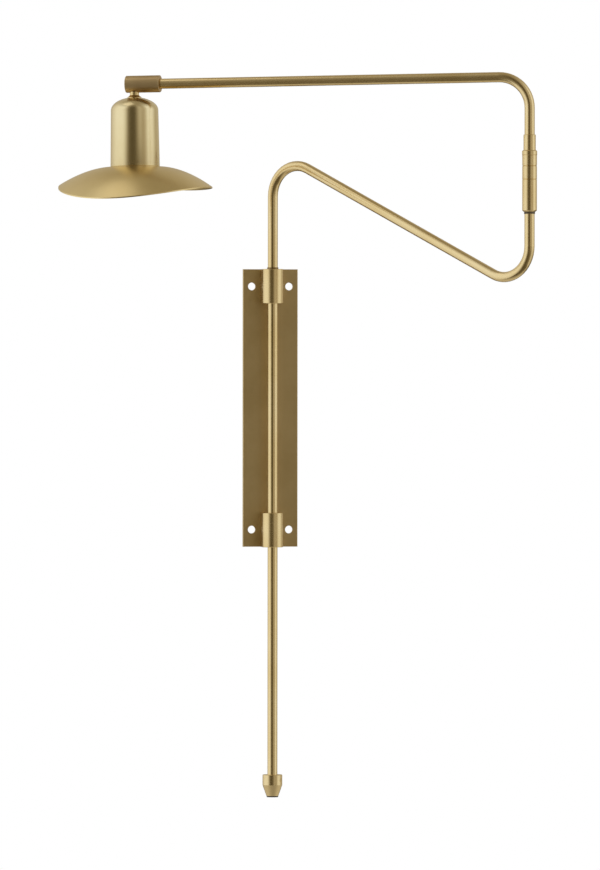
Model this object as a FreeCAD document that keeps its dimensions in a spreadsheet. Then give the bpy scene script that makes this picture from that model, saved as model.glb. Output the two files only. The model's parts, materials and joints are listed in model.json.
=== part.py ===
import FreeCAD, Part
import math
import os
import Sketcher

# Articulating wall lamp: a back plate with two brackets holds a bent tube that slides and
# swings; a second tube turns on its elbow and carries a knuckle, a cup and a bent dish shade.
# Millimetres. Origin at the centre of the plate's back face, +Z up, the room towards -Y.

# Driving sizes: name, value, meaning.
SIZES = [
    ("plate_width", 55.0, "back plate, side to side"),
    ("plate_height", 278.0, "back plate, top to bottom"),
    ("plate_thick", 5.0, "back plate thickness"),
    ("wall_hole_radius", 3.9, "wall screw holes"),
    ("wall_hole_side", 8.7, "wall screw hole to the plate's side edge"),
    ("wall_hole_end", 17.2, "wall screw hole to the plate's top or bottom edge"),
    ("mast_standoff", 18.0, "plate's front face to the main tube's axis"),
    ("bracket_width", 20.8, "bracket block width and nose diameter"),
    ("bracket_height", 34.4, "bracket block height"),
    ("screw_radius", 2.0, "bracket screw shank"),
    ("screw_head_radius", 3.8, "bracket screw countersunk head"),
    ("screw_head_depth", 2.2, "bracket screw head height"),
    ("screw_grip", 8.0, "bracket screw length inside the bracket"),
    ("screw_spacing", 20.0, "bracket screws, apart on one bracket"),
    ("bush_wall", 0.6, "plain bush wall"),
    ("bush_lip", 1.6, "upper bush standing proud of its bracket"),
    ("edge_break", 0.4, "small flat on turned and sawn edges"),
    ("band_break", 0.9, "flat on the raised band's edges"),
    ("plate_round", 0.6, "rounding of the plate's front edges"),
    ("running_gap", 0.05, "radial clearance of turning and sliding fits"),
    ("seat_gap", 0.05, "gap between faces that turn on each other"),
    ("tube_radius", 5.0, "arm tube outside radius"),
    ("tube_wall", 1.0, "arm tube wall"),
    ("bend_radius", 30.0, "centreline radius of the arm bends"),
    ("lead_radius", 2.0, "inner lead"),
    ("lower_reach", 311.5, "main tube's axis to the elbow's axis"),
    ("lower_turn", -44.0, "lower arm's direction seen from above"),
    ("lower_corner", 258.8, "height where tail and diagonal would meet"),
    ("elbow_corner", 111.8, "height where diagonal and elbow leg would meet"),
    ("tail_end", -378.4, "lower end of the main tube"),
    ("ferrule_radius", 9.9, "tail ferrule"),
    ("ferrule_top", -366.4, "top of the tail ferrule"),
    ("ferrule_straight", 10.3, "straight part of the ferrule"),
    ("ferrule_taper", 11.0, "tapered part of the ferrule"),
    ("ferrule_mouth", 6.0, "ferrule's lower end radius"),
    ("grommet_radius", 4.4, "cord grommet outside radius"),
    ("cord_bore_radius", 3.2, "cord grommet bore"),
    ("grommet_height", 8.0, "cord grommet length inside the ferrule"),
    ("grommet_flange", 1.2, "cord grommet's flange below the ferrule"),
    ("grub_radius", 1.5, "grub screw"),
    ("stop_radius", 0.9, "stop key and stop pin in the elbow"),
    ("stop_turn", 127.0, "stop key's direction in the elbow seen from above"),
    ("socket_bottom", 192.6, "lower end of the elbow socket"),
    ("socket_height", 31.5, "elbow socket"),
    ("socket_radius", 7.2, "elbow socket outside radius"),
    ("socket_bore", 6.0, "elbow socket inside radius"),
    ("tube_seat", 11.0, "depth of a tube in its socket or collar"),
    ("socket_floor", 3.0, "floor above the seated tube"),
    ("socket_taper", 1.2, "height of the taper at the socket's lower end"),
    ("stop_key_height", 4.0, "stop key"),
    ("ring_height", 12.9, "elbow bearing ring"),
    ("bearing_spigot", 6.5, "bearing ring's spigot in the socket"),
    ("spindle_radius", 4.0, "elbow spindle outside radius"),
    ("spindle_bore", 2.8, "wire way through the spindle"),
    ("spindle_tail", 7.5, "spindle below the bearing ring"),
    ("clip_groove", 0.5, "depth of the circlip's groove"),
    ("washer_thick", 0.8, "spring washers and circlip"),
    ("glide_thick", 0.3, "glide washer under the elbow cap"),
    ("seal_height", 2.2, "dark ring under the elbow socket"),
    ("seal_wall", 0.4, "its wall"),
    ("cap_height", 10.1, "elbow cap"),
    ("band_height", 4.9, "raised band above the elbow cap"),
    ("band_radius", 7.4, "raised band radius"),
    ("collar_height", 15.2, "elbow collar"),
    ("collar_radius", 6.0, "elbow collar radius"),
    ("upper_corner", 323.9, "height where elbow leg and upper run would meet"),
    ("upper_reach", 370.9, "elbow's axis to the knuckle"),
    ("upper_turn", 159.2, "upper arm's direction seen from above"),
    ("droop", 0.6, "fall of the upper arm below level, degrees"),
    ("coupler_radius", 8.4, "knuckle barrel radius"),
    ("coupler_length", 34.6, "knuckle barrel length with its end cap"),
    ("coupler_neck", 26.4, "knuckle's tube end to the neck axis"),
    ("coupler_bore", 6.2, "knuckle's inside radius"),
    ("coupler_shoulder", 13.0, "length of the bore that runs on the tube"),
    ("end_cap_thick", 1.4, "knuckle end cap's rim"),
    ("end_cap_spigot", 1.7, "knuckle end cap's spigot"),
    ("arm_nut_thick", 1.8, "flange of the nut in the arm's end"),
    ("stem_radius", 3.2, "neck stem thread radius"),
    ("stem_washer_thick", 0.6, "washer under the nut above the neck"),
    ("stem_nut_height", 2.4, "nut above the neck"),
    ("nut_room", 0.25, "room round that nut in its pocket"),
    ("locknut_rim", 2.3, "nut in the cup, beyond its thread"),
    ("locknut_height", 2.6, "nut in the cup"),
    ("stem_bore", 2.0, "wire way through the neck stem"),
    ("neck_radius", 4.6, "neck's narrowest radius"),
    ("neck_length", 4.9, "neck between knuckle and cup"),
    ("neck_flare", 7.0, "neck's foot radius"),
    ("pocket_radius", 4.8, "round pocket for the nut above the neck"),
    ("pocket_floor", 1.8, "metal left below that pocket"),
    ("neck_seat", 1.0, "depth of the flat seat for the neck under the knuckle"),
    ("cup_radius", 23.1, "cup at its shoulder"),
    ("cup_flare", 0.6, "growth of the cup's radius to its lower edge"),
    ("cup_crown", 7.3, "rise of the cup's top cone"),
    ("cup_height", 67.8, "cup from neck foot to lower edge"),
    ("cup_round", 6.5, "rounding of the cup's shoulder"),
    ("cup_wall", 1.2, "cup wall"),
    ("holder_radius", 17.0, "lampholder outside radius"),
    ("holder_bore", 14.0, "lampholder inside radius"),
    ("holder_top", 8.5, "cup's underside of crown to the lampholder's top"),
    ("holder_roof", 4.0, "lampholder roof"),
    ("holder_slope", 8.0, "height of the sloping wall under that roof"),
    ("holder_hip", 6.0, "height of the sloping edge over it"),
    ("shell_bore", 13.2, "screw shell inside radius"),
    ("shell_wall", 0.5, "screw shell wall"),
    ("shell_length", 24.0, "screw shell length"),
    ("shell_depth", 8.0, "screw shell above the lampholder's mouth"),
    ("shell_lip", 2.0, "height of the beads at both ends of the shell"),
    ("contact_disc", 2.0, "disc over the shell"),
    ("contact_radius", 3.4, "centre contact"),
    ("contact_drop", 1.4, "centre contact below its disc"),
    ("shade_radius", 76.0, "dish shade radius"),
    ("shade_wall", 1.2, "dish shade sheet"),
    ("shade_drop", 21.9, "mean fall of the dish from hub to rim"),
    ("shade_curve", 1.85, "power of the dish's curve"),
    ("brim_wave", 4.3, "rise and fall of the bent brim"),
    ("brim_wave_turn", -18.5, "direction of the brim's high sides"),
    ("brim_dip", 6.9, "extra fall of the brim on one side"),
    ("brim_dip_turn", 109.7, "direction of that side"),
    ("ring_reach", 4.5, "shade ring beyond the lampholder"),
    ("shade_ring_height", 3.6, "shade ring"),
]

NODES = []
doc = FreeCAD.newDocument("wall_lamp")


# ---------------------------------------------------------------- sizes and formulas

class Size:
    """A size of the sheet, or a sum of such sizes, with the formula that binds a feature to it."""

    def __init__(self, value, formula):
        self.value = float(value)
        self.formula = formula

    def join(self, other, sign, value):
        return Size(value, "(%s %s %s)" % (self.formula, sign, as_size(other).formula))

    def __add__(self, other):
        return self.join(other, "+", self.value + as_size(other).value)

    def __sub__(self, other):
        return self.join(other, "-", self.value - as_size(other).value)

    def __mul__(self, other):
        return self.join(other, "*", self.value * as_size(other).value)

    def __truediv__(self, other):
        return self.join(other, "/", self.value / as_size(other).value)

    def __neg__(self):
        return Size(-self.value, "(0 - %s)" % self.formula)


def as_size(number):
    """A Size as it is, a plain number as a Size."""
    return number if isinstance(number, Size) else Size(number, repr(float(number)))


def cosine(angle):
    return Size(math.cos(math.radians(angle.value)), "cos(%s)" % angle.formula)


def sine(angle):
    return Size(math.sin(math.radians(angle.value)), "sin(%s)" % angle.formula)


def make_sheet():
    """The sheet of driving sizes, one row each: value with its alias, then its meaning."""
    sheet = doc.addObject("Spreadsheet::Sheet", "Sizes")
    for row, (name, value, meaning) in enumerate(SIZES, start=1):
        sheet.set("A%d" % row, str(value))
        sheet.setAlias("A%d" % row, name)
        sheet.set("B%d" % row, meaning)
    doc.recompute()
    return sheet


class Sheet:
    """Reads a size of the sheet by its name."""

    def __init__(self, sheet):
        self.sheet = sheet

    def __getattr__(self, name):
        return Size(self.sheet.get(name), "Sizes." + name)


# ---------------------------------------------------------------- sketches and features

def origin_plane(body, role):
    for feature in body.Origin.OriginFeatures:
        if feature.Role == role:
            return feature
    raise ValueError(role)


def new_body(name):
    body = doc.addObject("PartDesign::Body", name)
    body.Label = name
    NODES.append(body)
    return body


def new_sketch(body, name, role):
    sketch = body.newObject("Sketcher::SketchObject", body.Name + "_" + name)
    sketch.AttachmentSupport = [(origin_plane(body, role), "")]
    sketch.MapMode = "FlatFace"
    return sketch


def bind_constraint(sketch, constraint, size):
    index = sketch.addConstraint(constraint)
    if "Sizes." in size.formula:
        sketch.setExpression("Constraints[%d]" % index, size.formula)


def pin(sketch, item, end, corner):
    """Ties one point of a sketch to its distances from the sketch's axes."""
    kinds = ("DistanceX", "DistanceY")
    axes = (-2, -1)
    for kind, axis, size in zip(kinds, axes, corner):
        size = as_size(size)
        if size.formula == "0.0":
            sketch.addConstraint(Sketcher.Constraint("PointOnObject", item, end, axis))
        else:
            bind_constraint(sketch, Sketcher.Constraint(kind, -1, 1, item, end, size.value), size)


def flat(corner):
    return FreeCAD.Vector(as_size(corner[0]).value, as_size(corner[1]).value, 0)


def draw_outline(sketch, corners):
    """A closed outline of straight sides, every corner tied to the sizes."""
    first = sketch.GeometryCount
    count = len(corners)
    for i in range(count):
        sketch.addGeometry(Part.LineSegment(flat(corners[i]), flat(corners[(i + 1) % count])), False)
    for i in range(count):
        after = first + (i + 1) % count
        sketch.addConstraint(Sketcher.Constraint("Coincident", first + i, 2, after, 1))
    for i, corner in enumerate(corners):
        pin(sketch, first + i, 1, corner)


def draw_circle(sketch, centre, radius):
    item = sketch.addGeometry(Part.Circle(flat(centre), FreeCAD.Vector(0, 0, 1), radius.value), False)
    pin(sketch, item, 3, centre)
    bind_constraint(sketch, Sketcher.Constraint("Radius", item, radius.value), radius)


def draw_bent_line(sketch, corners, radius):
    """An open run of straight lines joined by tangent arcs of one radius."""
    points = [flat(corner) for corner in corners]
    starts = [points[0]]
    ends = []
    arcs = []
    for before, corner, after in zip(points, points[1:], points[2:]):
        back = (before - corner).normalize()
        ahead = (after - corner).normalize()
        half = back.getAngle(ahead) / 2
        reach = radius.value / math.tan(half)
        middle = (back + ahead).normalize() * (radius.value / math.sin(half) - radius.value)
        arcs.append((corner + back * reach, corner + middle, corner + ahead * reach))
        ends.append(corner + back * reach)
        starts.append(corner + ahead * reach)
    ends.append(points[-1])
    lines = [sketch.addGeometry(Part.LineSegment(a, b), False) for a, b in zip(starts, ends)]
    for i, (a, b, c) in enumerate(arcs):
        item = sketch.addGeometry(Part.Arc(a, b, c), False)
        opens = (sketch.getPoint(item, 1) - a).Length < (sketch.getPoint(item, 2) - a).Length
        sketch.addConstraint(Sketcher.Constraint("Tangent", lines[i], 2, item, 1 if opens else 2))
        sketch.addConstraint(Sketcher.Constraint("Tangent", item, 2 if opens else 1, lines[i + 1], 1))
        bind_constraint(sketch, Sketcher.Constraint("Radius", item, radius.value), radius)
        mark = sketch.addGeometry(Part.Point(points[i + 1]), True)
        pin(sketch, mark, 1, corners[i + 1])
        sketch.addConstraint(Sketcher.Constraint("PointOnObject", mark, 1, lines[i]))
        sketch.addConstraint(Sketcher.Constraint("PointOnObject", mark, 1, lines[i + 1]))
    pin(sketch, lines[0], 1, corners[0])
    pin(sketch, lines[-1], 2, corners[-1])


def turned(name, profile, axis="V_Axis"):
    """A turned piece: a profile in the XZ plane, turned about Z (or about X)."""
    body = new_body(name)
    sketch = new_sketch(body, "profile", "XZ_Plane")
    draw_outline(sketch, profile)
    turn = body.newObject("PartDesign::Revolution", name + "_turned")
    turn.Profile = sketch
    turn.ReferenceAxis = (sketch, [axis])
    turn.Angle = 360.0
    return body


def tube_ring(name, outer, inner, low, high):
    """A plain ring or sleeve."""
    return turned(name, [(inner, low), (outer, low), (outer, high), (inner, high)])


def rod(name, radius, low, high):
    """A plain round pin along Z."""
    return turned(name, [(0, low), (radius, low), (radius, high), (0, high)])


def bent_tube(name, corners, outer, inner=None):
    """A tube of round section along straight runs and tangent bends in the XZ plane."""
    body = new_body(name)
    path = new_sketch(body, "path", "XZ_Plane")
    draw_bent_line(path, corners, dims.bend_radius)
    section = new_sketch(body, "section", "XY_Plane")
    draw_circle(section, (0, 0), outer)
    if inner is not None:
        draw_circle(section, (0, 0), inner)
    section.setExpression("AttachmentOffset.Base.z", corners[0][1].formula)
    pipe = body.newObject("PartDesign::AdditivePipe", name + "_pipe")
    pipe.Profile = section
    pipe.Spine = path
    return body


def hexagon_nut(name, half_flats, bore, low, high):
    """A hexagon nut along Z with a round bore."""
    body = new_body(name)
    sketch = new_sketch(body, "hexagon", "XY_Plane")
    corner = half_flats / math.cos(math.radians(30))
    corners = []
    for i in range(6):
        angle = math.radians(60 * i)
        corners.append((corner * round(math.cos(angle), 9), corner * round(math.sin(angle), 9)))
    draw_outline(sketch, corners)
    draw_circle(sketch, (0, 0), bore)
    sketch.setExpression("AttachmentOffset.Base.z", low.formula)
    pad = body.newObject("PartDesign::Pad", name + "_pad")
    pad.Profile = sketch
    pad.setExpression("Length", (high - low).formula)
    return body


def cut_round(body, name, role, centre, radius, offset, depth):
    """A round pocket, from a plane moved by offset, along the plane's normal for a depth."""
    sketch = new_sketch(body, name, role)
    draw_circle(sketch, centre, radius)
    sketch.setExpression("AttachmentOffset.Base.z", offset.formula)
    pocket = body.newObject("PartDesign::Pocket", body.Name + "_" + name + "_cut")
    pocket.Profile = sketch
    pocket.Reversed = True
    pocket.setExpression("Length", depth.formula)
    doc.recompute()
    if pocket.Shape.Volume > pocket.BaseFeature.Shape.Volume - 0.01:
        raise ValueError("%s cuts nothing" % pocket.Name)


def round_edges(body, wanted, radius):
    """Rounds the edges of the tip for which wanted(edge) holds."""
    doc.recompute()
    base = body.Tip
    names = ["Edge%d" % (i + 1) for i, edge in enumerate(base.Shape.Edges) if wanted(edge)]
    if not names:
        raise ValueError("no edge to round on " + body.Name)
    fillet = body.newObject("PartDesign::Fillet", body.Name + "_round%d" % len(body.Group))
    fillet.Base = (base, names)
    fillet.setExpression("Radius", as_size(radius).formula)
    fillet.Radius = as_size(radius).value
    return fillet


def break_edges(body, wanted, size):
    """Cuts a small flat on the edges of the tip for which wanted(edge) holds."""
    doc.recompute()
    base = body.Tip
    names = ["Edge%d" % (i + 1) for i, edge in enumerate(base.Shape.Edges) if wanted(edge)]
    if not names:
        raise ValueError("no edge to break on " + body.Name)
    chamfer = body.newObject("PartDesign::Chamfer", body.Name + "_break%d" % len(body.Group))
    chamfer.Base = (base, names)
    chamfer.Size = size.value
    chamfer.setExpression("Size", size.formula)
    return chamfer


def circle_at(radius, height):
    """Picks the round edge about Z with this radius at this height."""
    def wanted(edge):
        curve = edge.Curve
        if not isinstance(curve, Part.Circle):
            return False
        return abs(curve.Radius - radius.value) < 0.01 and abs(curve.Center.z - height.value) < 0.01
    return wanted


def place(body, spot, turn=None, tip=None):
    """Puts a body at a spot, turned about Z and then tipped about its own Y."""
    rotation = FreeCAD.Rotation(FreeCAD.Vector(0, 0, 1), turn.value if turn else 0)
    if tip:
        rotation = rotation * FreeCAD.Rotation(FreeCAD.Vector(0, 1, 0), tip.value)
    corner = [as_size(value) for value in spot]
    body.Placement = FreeCAD.Placement(FreeCAD.Vector(*[value.value for value in corner]), rotation)
    for letter, value in zip("xyz", corner):
        if "Sizes." in value.formula:
            body.setExpression("Placement.Base." + letter, value.formula)


# ---------------------------------------------------------------- places shared by the pieces

sheet_object = make_sheet()
dims = Sheet(sheet_object)

mast_y = -(dims.plate_thick + dims.mast_standoff)
bracket_middle = (dims.plate_height - dims.bracket_height) / 2
bush_radius = dims.tube_radius + dims.running_gap + dims.bush_wall
bracket_bore = bush_radius + dims.running_gap
tube_bore = dims.tube_radius - dims.tube_wall

elbow_x = dims.lower_reach * cosine(dims.lower_turn)
elbow_y = mast_y + dims.lower_reach * sine(dims.lower_turn)
socket_top = dims.socket_bottom + dims.socket_height
ring_top = socket_top + dims.ring_height
cap_bottom = ring_top + dims.seat_gap + dims.glide_thick
band_bottom = cap_bottom + dims.cap_height
collar_bottom = band_bottom + dims.band_height
collar_top = collar_bottom + dims.collar_height
spindle_top = collar_top - dims.tube_seat - dims.edge_break
bearing_bottom = socket_top - dims.bearing_spigot
bush_outer = dims.spindle_radius + dims.running_gap + dims.bush_wall

neck_x = dims.upper_reach + dims.coupler_neck
coupler_end = dims.upper_reach + dims.coupler_length
shoulder_x = dims.upper_reach + dims.coupler_shoulder
coupler_under = -dims.coupler_radius
neck_foot = coupler_under - dims.seat_gap - dims.neck_length
cup_edge = neck_foot - dims.cup_height
seat_face = coupler_under + dims.neck_seat
pocket_bottom = seat_face + dims.pocket_floor
crown_under = neck_foot - dims.cup_wall
holder_top_z = crown_under - dims.holder_top
holder_mouth = cup_edge - dims.shade_wall - dims.shade_ring_height
hub_radius = dims.cup_radius + dims.cup_flare


def on_lower_arm(body):
    place(body, (0, mast_y, 0), dims.lower_turn)


def on_elbow(body):
    place(body, (elbow_x, elbow_y, 0), dims.lower_turn)


def on_upper_leg(body):
    place(body, (elbow_x, elbow_y, 0), dims.upper_turn)


def on_upper_run(body):
    """The upper run's own frame: X along the drooping tube from the elbow's axis."""
    place(body, (elbow_x, elbow_y, dims.upper_corner), dims.upper_turn, dims.droop)


def at_neck(body):
    """The upper run's frame moved along it to the neck's axis."""
    along = neck_x * cosine(dims.droop)
    spot_x = elbow_x + along * cosine(dims.upper_turn)
    spot_y = elbow_y + along * sine(dims.upper_turn)
    place(body, (spot_x, spot_y, dims.upper_corner - neck_x * sine(dims.droop)), dims.upper_turn, dims.droop)


# ---------------------------------------------------------------- wall bracket

def make_backplate():
    body = new_body("backplate")
    sketch = new_sketch(body, "outline", "XZ_Plane")
    half_width = dims.plate_width / 2
    half_height = dims.plate_height / 2
    draw_outline(sketch, [(-half_width, -half_height), (half_width, -half_height),
                          (half_width, half_height), (-half_width, half_height)])
    for side in (-1, 1):
        for end in (-1, 1):
            spot = ((half_width - dims.wall_hole_side) * side, (half_height - dims.wall_hole_end) * end)
            draw_circle(sketch, spot, dims.wall_hole_radius)
    pad = body.newObject("PartDesign::Pad", "backplate_pad")
    pad.Profile = sketch
    pad.setExpression("Length", dims.plate_thick.formula)
    doc.recompute()
    if pad.Shape.BoundBox.YMax > dims.plate_thick.value / 2:
        pad.Reversed = True
    doc.recompute()

    def front_rim(edge):
        box = edge.BoundBox
        straight = isinstance(edge.Curve, Part.Line)
        return straight and box.YMin < -dims.plate_thick.value + 0.01 and box.YLength < 0.01
    round_edges(body, front_rim, dims.plate_round)
    for height in screw_heights():
        cut_countersink(body, height)
    return body


def screw_heights():
    """Heights of the four bracket screws."""
    return [bracket_middle * end + dims.screw_spacing / 2 * step for end in (-1, 1) for step in (-1, 1)]


def cut_countersink(body, height):
    """A screw hole through the plate, countersunk in its back face."""
    tag = "screw%d" % len(body.Group)
    sketch = new_sketch(body, tag, "YZ_Plane")
    gap = dims.running_gap
    head = dims.screw_head_radius + gap
    shank = dims.screw_radius + gap
    draw_outline(sketch, [(0, height), (0, height + head), (-dims.screw_head_depth, height + shank),
                          (-dims.plate_thick, height + shank), (-dims.plate_thick, height)])
    cut = body.newObject("PartDesign::Groove", tag + "_cut")
    cut.Profile = sketch
    axis_line = sketch.addGeometry(Part.LineSegment(FreeCAD.Vector(-1, height.value, 0),
                                                    FreeCAD.Vector(0, height.value, 0)), True)
    pin(sketch, axis_line, 1, (-1, height))
    pin(sketch, axis_line, 2, (0, height))
    cut.ReferenceAxis = (sketch, ["Axis0"])
    cut.Angle = 360.0


def make_bracket(name, end):
    """A block with a half-round nose, flat against the plate, bored for its bush."""
    body = new_body(name)
    sketch = new_sketch(body, "outline", "XY_Plane")
    half = dims.bracket_width / 2
    back = dims.mast_standoff
    nose = sketch.addGeometry(Part.Arc(flat((-half, 0)), flat((0, -half)), flat((half, 0))), False)
    right = sketch.addGeometry(Part.LineSegment(flat((half, 0)), flat((half, back))), False)
    rear = sketch.addGeometry(Part.LineSegment(flat((half, back)), flat((-half, back))), False)
    left = sketch.addGeometry(Part.LineSegment(flat((-half, back)), flat((-half, 0))), False)
    sketch.addConstraint(Sketcher.Constraint("Coincident", nose, 2, right, 1))
    sketch.addConstraint(Sketcher.Constraint("Coincident", right, 2, rear, 1))
    sketch.addConstraint(Sketcher.Constraint("Coincident", rear, 2, left, 1))
    sketch.addConstraint(Sketcher.Constraint("Coincident", left, 2, nose, 1))
    sketch.addConstraint(Sketcher.Constraint("Coincident", nose, 3, -1, 1))
    pin(sketch, right, 1, (half, 0))
    pin(sketch, rear, 1, (half, back))
    pin(sketch, left, 1, (-half, back))
    draw_circle(sketch, (0, 0), bracket_bore)
    pad = body.newObject("PartDesign::Pad", name + "_pad")
    pad.Profile = sketch
    pad.Midplane = True
    pad.setExpression("Length", dims.bracket_height.formula)

    def outside_rim(edge):
        box = edge.BoundBox
        level = box.ZLength < 0.01
        inner = isinstance(edge.Curve, Part.Circle) and edge.Curve.Radius < bracket_bore.value + 0.1
        return level and not inner and box.YMin < dims.mast_standoff.value - 0.1
    break_edges(body, outside_rim, dims.edge_break)
    for side, step in enumerate((-1, 1)):
        sketch = new_sketch(body, "tapped%d" % side, "XZ_Plane")
        draw_circle(sketch, (0, dims.screw_spacing / 2 * step), dims.screw_radius)
        sketch.setExpression("AttachmentOffset.Base.z", (-dims.mast_standoff).formula)
        hole = body.newObject("PartDesign::Pocket", name + "_tapped%d" % side)
        hole.Profile = sketch
        hole.setExpression("Length", (dims.screw_grip + dims.seat_gap).formula)
        doc.recompute()
        if hole.Shape.Volume > hole.BaseFeature.Shape.Volume - 1:
            hole.Reversed = True
    place(body, (0, mast_y, bracket_middle * end))
    return body


def make_bracket_screws():
    """Four countersunk screws put in from the plate's back, as one group."""
    pieces = []
    for i, height in enumerate(screw_heights()):
        head = doc.addObject("Part::Cone", "screw_head%d" % i)
        head.setExpression("Radius1", dims.screw_head_radius.formula)
        head.setExpression("Radius2", dims.screw_radius.formula)
        head.setExpression("Height", dims.screw_head_depth.formula)
        shank = doc.addObject("Part::Cylinder", "screw_shank%d" % i)
        shank.setExpression("Radius", dims.screw_radius.formula)
        shank.setExpression("Height", (dims.plate_thick + dims.screw_grip).formula)
        for piece in (head, shank):
            piece.Placement = FreeCAD.Placement(FreeCAD.Vector(0, 0, height.value),
                                                FreeCAD.Rotation(FreeCAD.Vector(1, 0, 0), 90))
            piece.setExpression("Placement.Base.z", height.formula)
            pieces.append(piece)
    group = doc.addObject("Part::MultiFuse", "bracket_screws")
    group.Shapes = pieces
    group.Label = "bracket_screws"
    NODES.append(group)


def make_wall_bracket():
    make_backplate()
    make_bracket("upper_bracket", 1)
    make_bracket("lower_bracket", -1)
    make_bracket_screws()


def make_bushes():
    """Plain bushes that line both brackets: the tube slides in them and they turn with it."""
    for name, end in (("upper_bush", 1), ("lower_bush", -1)):
        half = dims.bracket_height / 2
        inner = dims.tube_radius + dims.running_gap
        low = -half
        high = half + (dims.bush_lip if end > 0 else 0)
        body = tube_ring(name, bush_radius, inner, low, high)
        place(body, (0, mast_y, bracket_middle * end))


# ---------------------------------------------------------------- lower arm

def lower_path(start, end):
    return [(0, start), (0, dims.lower_corner), (dims.lower_reach, dims.elbow_corner),
            (dims.lower_reach, end)]


def make_lower_tube():
    end = dims.socket_bottom + dims.tube_seat
    on_lower_arm(bent_tube("lower_tube", lower_path(dims.tail_end, end), dims.tube_radius, tube_bore))
    lead_low = dims.ferrule_top - dims.ferrule_straight
    lead_high = bearing_bottom - dims.bearing_spigot
    on_lower_arm(bent_tube("lower_lead", lower_path(lead_low, lead_high), dims.lead_radius))


def make_tail_ferrule():
    """The turned end piece of the tail, with a rubber grommet for the cord and a grub screw."""
    top = dims.ferrule_top
    shoulder = top - dims.ferrule_straight
    mouth = shoulder - dims.ferrule_taper
    grommet_top = mouth + dims.grommet_height
    grommet_low = mouth - dims.grommet_flange
    body = turned("tail_ferrule", [
        (dims.tube_radius, top), (dims.ferrule_radius, top), (dims.ferrule_radius, shoulder),
        (dims.ferrule_mouth, mouth), (dims.grommet_radius, mouth), (dims.grommet_radius, grommet_top),
        (dims.cord_bore_radius, grommet_top), (dims.cord_bore_radius, dims.tail_end),
        (dims.tube_radius, dims.tail_end)])
    break_edges(body, circle_at(dims.ferrule_radius, top), dims.edge_break)
    screw_height = top - dims.ferrule_straight / 2
    cut_round(body, "grub_hole", "YZ_Plane", (0, screw_height), dims.grub_radius, dims.tube_radius,
              dims.ferrule_radius)
    on_lower_arm(body)
    on_lower_arm(turned("tail_grommet", [
        (dims.cord_bore_radius, grommet_low), (dims.ferrule_mouth - dims.edge_break, grommet_low),
        (dims.ferrule_mouth, mouth), (dims.grommet_radius, mouth), (dims.grommet_radius, grommet_top),
        (dims.cord_bore_radius, grommet_top)]))
    grub_end = dims.ferrule_radius - dims.edge_break
    grub = turned("ferrule_grub_screw", [
        (dims.tube_radius, 0), (dims.tube_radius, dims.grub_radius), (grub_end, dims.grub_radius),
        (grub_end, 0)], "H_Axis")
    place(grub, (0, mast_y, screw_height), dims.lower_turn)


def make_elbow_socket():
    """The socket brazed on the lower tube: seat below, wire way, bearing room above."""
    bottom = dims.socket_bottom
    seat = bottom + dims.tube_seat
    floor = seat + dims.socket_floor
    taper_top = bottom + dims.socket_taper
    body = turned("elbow_socket", [
        (dims.tube_radius, bottom), (dims.socket_bore, bottom), (dims.socket_radius, taper_top),
        (dims.socket_radius, socket_top), (dims.socket_bore, socket_top), (dims.socket_bore, floor),
        (dims.spindle_bore, floor), (dims.spindle_bore, seat), (dims.tube_radius, seat)])
    break_edges(body, circle_at(dims.socket_radius, socket_top), dims.edge_break)
    on_elbow(body)
    seal_radius = dims.tube_radius + dims.seal_wall
    on_elbow(tube_ring("elbow_seal", seal_radius, dims.tube_radius, bottom - dims.seal_height, bottom))
    key = rod("elbow_stop_key", dims.stop_radius, floor, floor + dims.stop_key_height)
    key_shift = dims.socket_bore - dims.stop_radius
    key_x = elbow_x + key_shift * cosine(dims.stop_turn)
    key_y = elbow_y + key_shift * sine(dims.stop_turn)
    place(key, (key_x, key_y, 0), dims.stop_turn)


def make_elbow_bearing():
    """The bearing ring screwed into the socket, lined with a plain bush for the spindle."""
    outer = dims.socket_radius
    body = turned("elbow_bearing_ring", [
        (bush_outer, bearing_bottom), (dims.socket_bore, bearing_bottom), (dims.socket_bore, socket_top),
        (outer, socket_top), (outer, ring_top), (bush_outer, ring_top)])
    break_edges(body, circle_at(outer, ring_top), dims.edge_break)
    break_edges(body, circle_at(outer, socket_top), dims.edge_break)
    on_elbow(body)
    inner = dims.spindle_radius + dims.running_gap
    on_elbow(tube_ring("elbow_bush", bush_outer, inner, bearing_bottom, ring_top))


def make_lower_arm():
    make_lower_tube()
    make_tail_ferrule()
    make_elbow_socket()
    make_elbow_bearing()


# ---------------------------------------------------------------- upper arm

def make_elbow_head():
    """Cap, raised band and collar that turn above the bearing ring, on the hollow spindle."""
    washer = tube_ring("elbow_washer", dims.socket_radius - dims.edge_break, dims.spindle_radius,
                       ring_top + dims.seat_gap, cap_bottom)
    on_upper_leg(washer)
    cap = turned("elbow_cap", [
        (dims.spindle_radius, cap_bottom), (dims.socket_radius, cap_bottom),
        (dims.socket_radius, band_bottom), (dims.spindle_radius, band_bottom)])
    break_edges(cap, circle_at(dims.socket_radius, cap_bottom), dims.edge_break)
    on_upper_leg(cap)
    band = turned("elbow_band", [
        (dims.spindle_radius, band_bottom), (dims.band_radius, band_bottom),
        (dims.band_radius, collar_bottom), (dims.spindle_radius, collar_bottom)])
    break_edges(band, circle_at(dims.band_radius, band_bottom), dims.edge_break)
    break_edges(band, circle_at(dims.band_radius, collar_bottom), dims.band_break)
    on_upper_leg(band)
    seat = collar_top - dims.tube_seat
    collar = turned("elbow_collar", [
        (dims.spindle_radius, collar_bottom), (dims.collar_radius, collar_bottom),
        (dims.collar_radius, collar_top), (dims.tube_radius, collar_top), (dims.tube_radius, seat),
        (dims.spindle_radius, seat)])
    break_edges(collar, circle_at(dims.collar_radius, collar_top), dims.edge_break)
    on_upper_leg(collar)


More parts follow.
